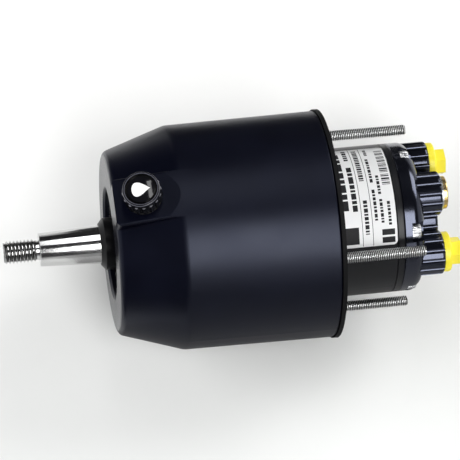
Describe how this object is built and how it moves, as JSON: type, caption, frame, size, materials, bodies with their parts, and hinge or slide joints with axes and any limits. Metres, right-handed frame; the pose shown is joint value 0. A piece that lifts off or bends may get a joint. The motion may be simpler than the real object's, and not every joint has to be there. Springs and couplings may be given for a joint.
{
  "type": "hydraulic helm pump",
  "caption": "Front-mount hydraulic helm pump: black cylindrical reservoir housing with a coned front, tapered wheel shaft, filler cap, mounting studs and a rear port manifold.",
  "frame": {"origin": "centre of the mounting face, on the shaft axis, at the rear face of the mounting gasket", "axes": "-Y along the shaft towards the wheel, +Y rearwards along the studs, +Z at twelve o'clock where the filler cap is, +X to starboard"},
  "size_m": [0.1265, 0.2475, 0.1352],
  "materials": {
    "housing_paint": "semi-gloss black powder coat",
    "body_paint": "black anodised, satin",
    "gasket_rubber": "matte black",
    "stud_steel": "bright stainless",
    "screw_steel": "machined",
    "shaft_steel": "turned stainless",
    "piston_steel": "ground",
    "spring_steel": "drawn wire",
    "bearing_steel": "polished",
    "bronze": "machined bronze",
    "plug_yellow": "moulded plastic",
    "plug_brass": "turned brass",
    "seal_rubber": "black rubber",
    "cover_plastic": "matte black",
    "ring_steel": "blackened spring steel",
    "cap_plastic": "moulded black",
    "badge_gloss": "gloss black"
  },
  "bodies": {
    "housing": {"front_housing": "housing_paint", "mounting_gasket": "gasket_rubber", "mounting_studs": "stud_steel", "pump_body": "body_paint", "pump_body_screws": "screw_steel", "body_o_ring": "seal_rubber", "port_plate": "body_paint", "rear_manifold": "body_paint", "manifold_screws": "stud_steel", "port_plug_left": "plug_yellow", "port_plug_right": "plug_yellow", "reservoir_plug": "plug_brass", "reservoir_plug_seal": "screw_steel", "swash_plate": "screw_steel", "swash_screws": "screw_steel", "thrust_race_fixed": "bearing_steel", "bearing_outer_ring": "bearing_steel", "shaft_seal": "seal_rubber", "seal_cover": "cover_plastic", "retaining_ring": "ring_steel", "shaft_bush": "bronze", "check_seat_left": "bronze", "check_seat_right": "bronze", "check_spring_left": "spring_steel", "check_spring_right": "spring_steel", "valve_end_plug_left": "screw_steel", "valve_end_plug_right": "screw_steel"},
    "shaft": {"shaft": "shaft_steel", "drive_pin": "screw_steel", "rotor": "bronze", "bearing_inner_ring": "bearing_steel", "piston_spring_1": "spring_steel", "piston_spring_2": "spring_steel", "piston_spring_3": "spring_steel", "piston_spring_4": "spring_steel", "piston_spring_5": "spring_steel"},
    "bearing_cage": {"bearing_balls": "bearing_steel", "bearing_cage": "bronze"},
    "thrust_race": {"thrust_race_turning": "bearing_steel"},
    "thrust_cage": {"thrust_balls": "bearing_steel", "thrust_cage": "bronze"},
    "piston_1": {"piston_1": "piston_steel"},
    "piston_2": {"piston_2": "piston_steel"},
    "piston_3": {"piston_3": "piston_steel"},
    "piston_4": {"piston_4": "piston_steel"},
    "piston_5": {"piston_5": "piston_steel"},
    "cap_seal": {"cap_o_ring": "seal_rubber"},
    "filler_cap": {"filler_cap": "cap_plastic", "cap_badge": "badge_gloss"},
    "valve_spool": {"valve_spool": "screw_steel"},
    "check_ball_left": {"check_ball_left": "bearing_steel"},
    "check_ball_right": {"check_ball_right": "bearing_steel"}
  },
  "joints": [
    {"name": "shaft_spin", "type": "hinge", "parent": "housing", "child": "shaft", "pos_m": [0, 0, 0], "axis": [0, -1, 0], "continuous": true, "deforming": ["piston_spring_1", "piston_spring_2", "piston_spring_3", "piston_spring_4", "piston_spring_5"]},
    {"name": "bearing_cage_spin", "type": "hinge", "parent": "housing", "child": "bearing_cage", "pos_m": [0, 0, 0], "axis": [0, -1, 0], "continuous": true},
    {"name": "thrust_race_spin", "type": "hinge", "parent": "housing", "child": "thrust_race", "pos_m": [0, -0.00586, 0], "axis": [0, -0.9781, 0.2079], "continuous": true},
    {"name": "thrust_cage_spin", "type": "hinge", "parent": "housing", "child": "thrust_cage", "pos_m": [0, -0.00586, 0], "axis": [0, -0.9781, 0.2079], "continuous": true},
    {"name": "piston_1_stroke", "type": "hinge", "parent": "thrust_race", "child": "piston_1", "pos_m": [0, -0.00134, 0.02124], "axis": [0, -0.9781, 0.2079], "continuous": true},
    {"name": "piston_2_stroke", "type": "hinge", "parent": "thrust_race", "child": "piston_2", "pos_m": [-0.02065, -0.00446, 0.00656], "axis": [0, -0.9781, 0.2079], "continuous": true},
    {"name": "piston_3_stroke", "type": "hinge", "parent": "thrust_race", "child": "piston_3", "pos_m": [-0.01276, -0.00951, -0.01718], "axis": [0, -0.9781, 0.2079], "continuous": true},
    {"name": "piston_4_stroke", "type": "hinge", "parent": "thrust_race", "child": "piston_4", "pos_m": [0.01276, -0.00951, -0.01718], "axis": [0, -0.9781, 0.2079], "continuous": true},
    {"name": "piston_5_stroke", "type": "hinge", "parent": "thrust_race", "child": "piston_5", "pos_m": [0.02065, -0.00446, 0.00656], "axis": [0, -0.9781, 0.2079], "continuous": true},
    {"name": "cap_lift", "type": "slide", "parent": "housing", "child": "cap_seal", "axis": [0, -0.1841, 0.9829], "range_m": [0, 0.0045]},
    {"name": "cap_turn", "type": "hinge", "parent": "cap_seal", "child": "filler_cap", "pos_m": [0, -0.1043, 0.05794], "axis": [0, -0.1841, 0.9829], "range_deg": [0, 1080]},
    {"name": "spool_shift", "type": "slide", "parent": "housing", "child": "valve_spool", "axis": [1, 0, 0], "range_m": [-0.002, 0.002]},
    {"name": "check_left_open", "type": "slide", "parent": "housing", "child": "check_ball_left", "axis": [-1, 0, 0], "range_m": [0, 0.0015], "stiffness_N_per_m": 200, "springref_m": -0.001, "deforming": ["check_spring_left"]},
    {"name": "check_right_open", "type": "slide", "parent": "housing", "child": "check_ball_right", "axis": [1, 0, 0], "range_m": [0, 0.0015], "stiffness_N_per_m": 200, "springref_m": -0.001, "deforming": ["check_spring_right"]}
  ],
  "couplings": [
    {"joint": "bearing_cage_spin", "follows": "shaft_spin", "ratio": 0.4083},
    {"joint": "thrust_race_spin", "follows": "shaft_spin", "ratio": 1},
    {"joint": "thrust_cage_spin", "follows": "shaft_spin", "ratio": 0.5},
    {"joint": "piston_1_stroke", "follows": "shaft_spin", "ratio": -1},
    {"joint": "piston_2_stroke", "follows": "shaft_spin", "ratio": -1},
    {"joint": "piston_3_stroke", "follows": "shaft_spin", "ratio": -1},
    {"joint": "piston_4_stroke", "follows": "shaft_spin", "ratio": -1},
    {"joint": "piston_5_stroke", "follows": "shaft_spin", "ratio": -1},
    {"joint": "cap_lift", "follows": "cap_turn", "m_per_rad": 0.00023873}
  ]
}
